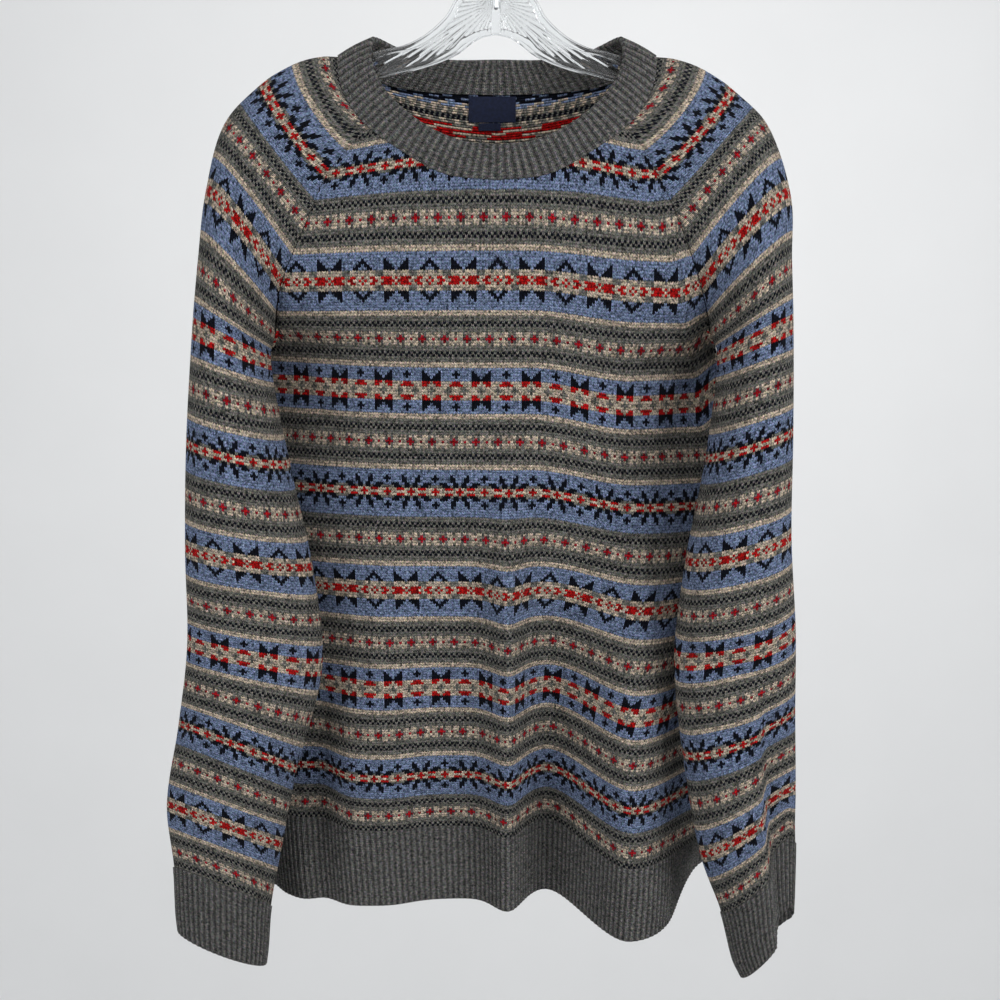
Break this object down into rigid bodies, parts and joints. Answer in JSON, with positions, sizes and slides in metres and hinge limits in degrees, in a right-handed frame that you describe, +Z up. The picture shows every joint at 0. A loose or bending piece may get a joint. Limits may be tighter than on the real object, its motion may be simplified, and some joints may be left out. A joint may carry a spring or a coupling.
{
  "type": "fair isle jumper on a clear plastic hanger",
  "caption": "Crew-neck raglan jumper in patterned stranded knit with ribbed neck, hem and cuffs, hanging on a clear plastic hanger by its metal hook.",
  "frame": {"origin": "the inside top of the hanger's hook, where a rail carries it (mount rail_seat)", "axes": "+Z up, the jumper's front faces -Y, +X is the right-hand side as seen from the front"},
  "size_m": [0.5117, 0.1812, 0.8466],
  "materials": {
    "patterned_knit": "matte wool, stranded two-colour knit",
    "ribbed_knit": "matte grey heather wool rib",
    "woven_label": "satin weave, bare",
    "clear_plastic": "clear, polished",
    "hook_metal": "polished"
  },
  "bodies": {
    "root": {"front": "patterned_knit", "back": "patterned_knit", "sleeve_left": "patterned_knit", "sleeve_right": "patterned_knit", "neckband": "ribbed_knit", "hem_rib_front": "ribbed_knit", "hem_rib_back": "ribbed_knit", "cuff_left": "ribbed_knit", "cuff_right": "ribbed_knit", "neck_label": "woven_label", "size_tab": "woven_label", "hanger": "clear_plastic", "hanger_hook": "hook_metal"}
  },
  "joints": []
}
